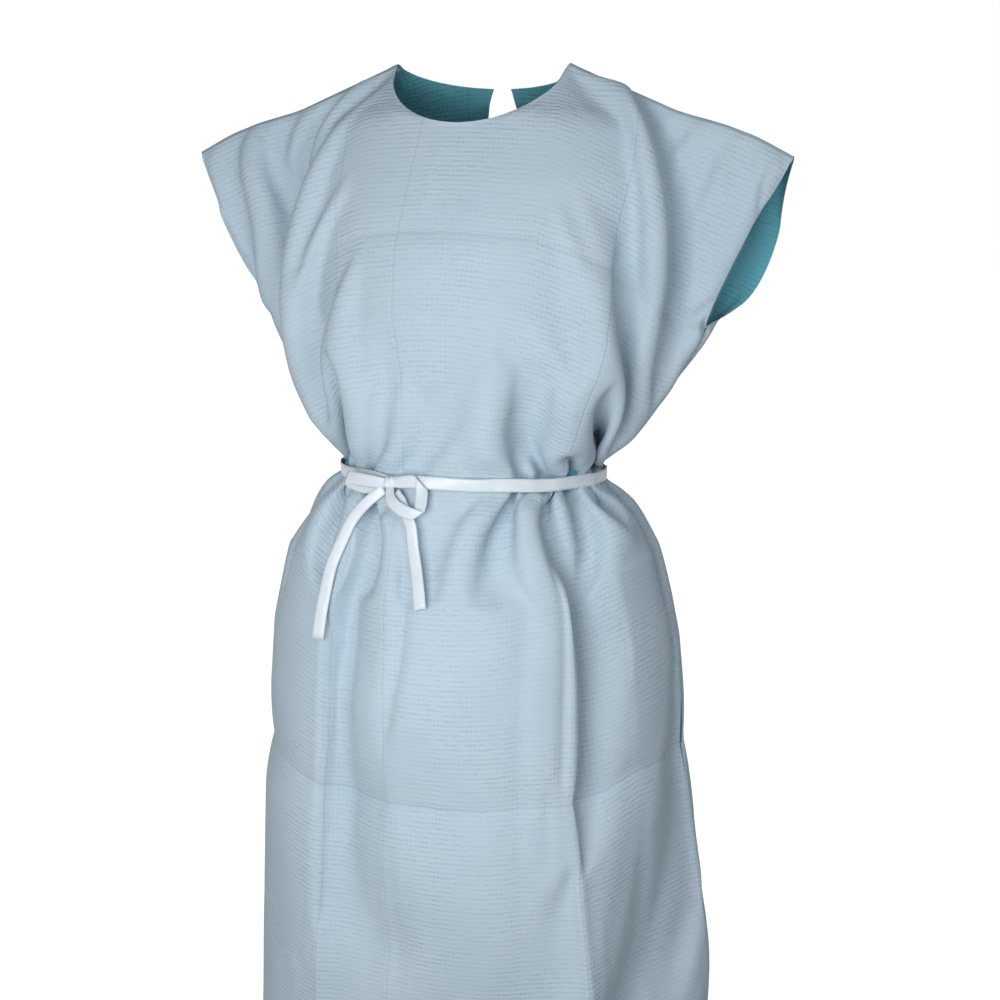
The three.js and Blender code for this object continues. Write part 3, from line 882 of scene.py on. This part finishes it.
# Each bow loop leaves the knot, turns over at a slanting fold and comes back to the knot.
rightLoop = [
    [(-56, -119, -403, 0, 0, -4.4), (-70, -118.5, -402.5, 0, 0, -6), (-88, -114, -402, 0, 0, -6.5),
     (-105, -107, -402, -2.8, 0, -6.8)],
    [(-105, -107, -402, -2.8, 0, -6.8), (-98, -107.5, -407, -3.5, 0, -5.5),
     (-88, -110, -409.5, -0.5, 0, -6.5), (-74, -114, -408.5, 1, 0, -6.4), (-58, -117, -404, 1, 0, -4.4)],
]
leftLoop = [
    [(-50, -119, -402.5, 0, 0, 4.4), (-40, -122, -400.5, 0, 0, 6.2), (-28, -124, -399, 0, 0, 6.5),
     (-17.5, -125, -400, -6.3, 0, 6.3)],
    [(-17.5, -125, -400, -6.3, 0, 6.3), (-16.5, -127.5, -408, -6.5, 0, 0.6), (-16, -132, -419, -6.5, 1, 0),
     (-17, -136, -430, -6.5, 0, -4.5)],
    [(-17, -136, -430, -6.5, 0, -4.5), (-28, -136.5, -427.5, -2.3, 0, -6.1), (-40, -134, -423, -2.3, 0, -6.1),
     (-49, -129, -416, -4.4, 0, -4.4), (-52, -122, -407, -4.4, 0, 0)],
]


def knotMesh(name, k):
    rows, columns = 21, 40
    fall = (np.arange(rows + 1) / rows * math.pi)[:, None]
    turn = (np.arange(columns) / columns * 2 * math.pi)[None]
    radius = 1 + k["depth"] * np.sin(fall) * (np.cos(k["puckers"] * turn + 1) + 0.5 * np.cos(9 * turn))
    x, z = radius * np.sin(fall) * np.cos(turn), radius * np.sin(fall) * np.sin(turn)
    y = -np.cos(fall) * (1 - 0.25 * np.exp(-(fall / 0.5) ** 2)) + 0 * turn
    points = np.stack([x, y, z], axis=-1) * k["size"] + k["at"]
    at = np.arange((rows + 1) * columns).reshape(rows + 1, columns)
    beside = np.roll(at, -1, axis=1)
    faces = np.stack([at[:-1], at[1:], beside[1:], beside[:-1]], axis=-1).reshape(-1, 4).tolist()
    return makeMesh(name, points.reshape(-1, 3), faces)


def addBelt(piece, node, body):
    piece.data.materials.append(materials["belt_film"])
    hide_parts(node)
    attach(piece, body)


addBelt(ribbonMesh("belt_band_ribbon", *beltRing(ribbon), closed=True), "belt_band", "root")
addBelt(knotMesh("belt_knot_ribbon", knot), "belt_knot", "root")
addBelt(foldedRibbon("right_bow_loop_ribbon", rightLoop), "right_bow_loop", "right_loop")
addBelt(foldedRibbon("left_bow_loop_ribbon", leftLoop), "left_bow_loop", "left_bow")
for node, tail in tails.items():
    route = through(np.array(tail["path"], float), 36)
    sideways = np.cross(np.gradient(route, axis=0), (0, 1, 0))
    sideways *= ribbon["half"] / np.linalg.norm(sideways, axis=1, keepdims=True)
    sideways *= np.linspace(0.8, 1, len(route))[:, None]
    piece = ribbonMesh(node + "_ribbon", route, sideways)
    addBelt(piece, node, tail["body"])
report("belt tied")


studio = {
    "floorZ": -1400.0, "floorSize": 30.0, "floorGlow": 0.85,
    "skyLight": 0.27, "skyTint": (0.9, 0.975, 1.0),
}


def makeStudio(s):
    material, tree = newMaterial("paleStudioFloor")
    noise = addNode(tree, "ShaderNodeTexNoise", {"Scale": 2.0})
    tone = addNode(tree, "ShaderNodeMapRange", {3: 0.84, 4: 0.88}, {0: noise.outputs["Fac"]})
    shader = addNode(tree, "ShaderNodeBsdfPrincipled",
                     {"Base Color": (0.9, 0.9, 0.9, 1), "Emission Color": (1, 1, 1, 1),
                      "Emission Strength": s["floorGlow"]},
                     {"Roughness": tone.outputs[0]})
    addNode(tree, "ShaderNodeOutputMaterial", None, {"Surface": shader.outputs[0]})
    half = s["floorSize"] / 2
    mesh = bpy.data.meshes.new("floor")
    corners = [(-half, -half, 0), (half, -half, 0), (half, half, 0), (-half, half, 0)]
    mesh.from_pydata(corners, [], [(0, 1, 2, 3)])
    floor = bpy.data.objects.new("floor", mesh)
    floor.location.z = s["floorZ"] * mm
    mesh.materials.append(material)
    bpy.context.scene.collection.objects.link(floor)
    floor.visible_diffuse = False  # it is seen, and doesn't light the cloth from below
    world = bpy.data.worlds.new("studio")
    world.use_nodes = True
    tree = world.node_tree
    tree.nodes.clear()
    seen = addNode(tree, "ShaderNodeLightPath").outputs["Is Camera Ray"]
    strength = addNode(tree, "ShaderNodeMapRange", {3: s["skyLight"], 4: 1.0}, {0: seen})
    tint = addNode(tree, "ShaderNodeMix", {"data_type": "RGBA"}, {0: seen})
    tint.inputs[6].default_value, tint.inputs[7].default_value = s["skyTint"] + (1,), (1, 1, 1, 1)
    sky = addNode(tree, "ShaderNodeBackground", None,
                  {"Color": tint.outputs[2], "Strength": strength.outputs[0]})
    addNode(tree, "ShaderNodeOutputWorld", None, {"Surface": sky.outputs[0]})
    bpy.context.scene.world = world


lights = {
    "key": {"at": (0.0, -1.2, -0.38), "size": 0.7, "power": 9.9},
    "fill": {"at": (1.2, -1.2, 0.45), "size": 0.8, "power": 6.0},
}


def makeLights():
    for name, facts in lights.items():
        data = bpy.data.lights.new(name, "AREA")
        data.size, data.energy = facts["size"], facts["power"]
        obj = bpy.data.objects.new(name, data)
        obj.location = facts["at"]
        away = Vector(facts["at"]) - Vector((0, 0, -0.45))
        obj.rotation_euler = away.to_track_quat("Z", "Y").to_euler()
        obj.visible_camera = False
        bpy.context.scene.collection.objects.link(obj)


makeStudio(studio)
makeLights()
bpy.context.scene.view_settings.view_transform = "Standard"

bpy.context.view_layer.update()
report("done")
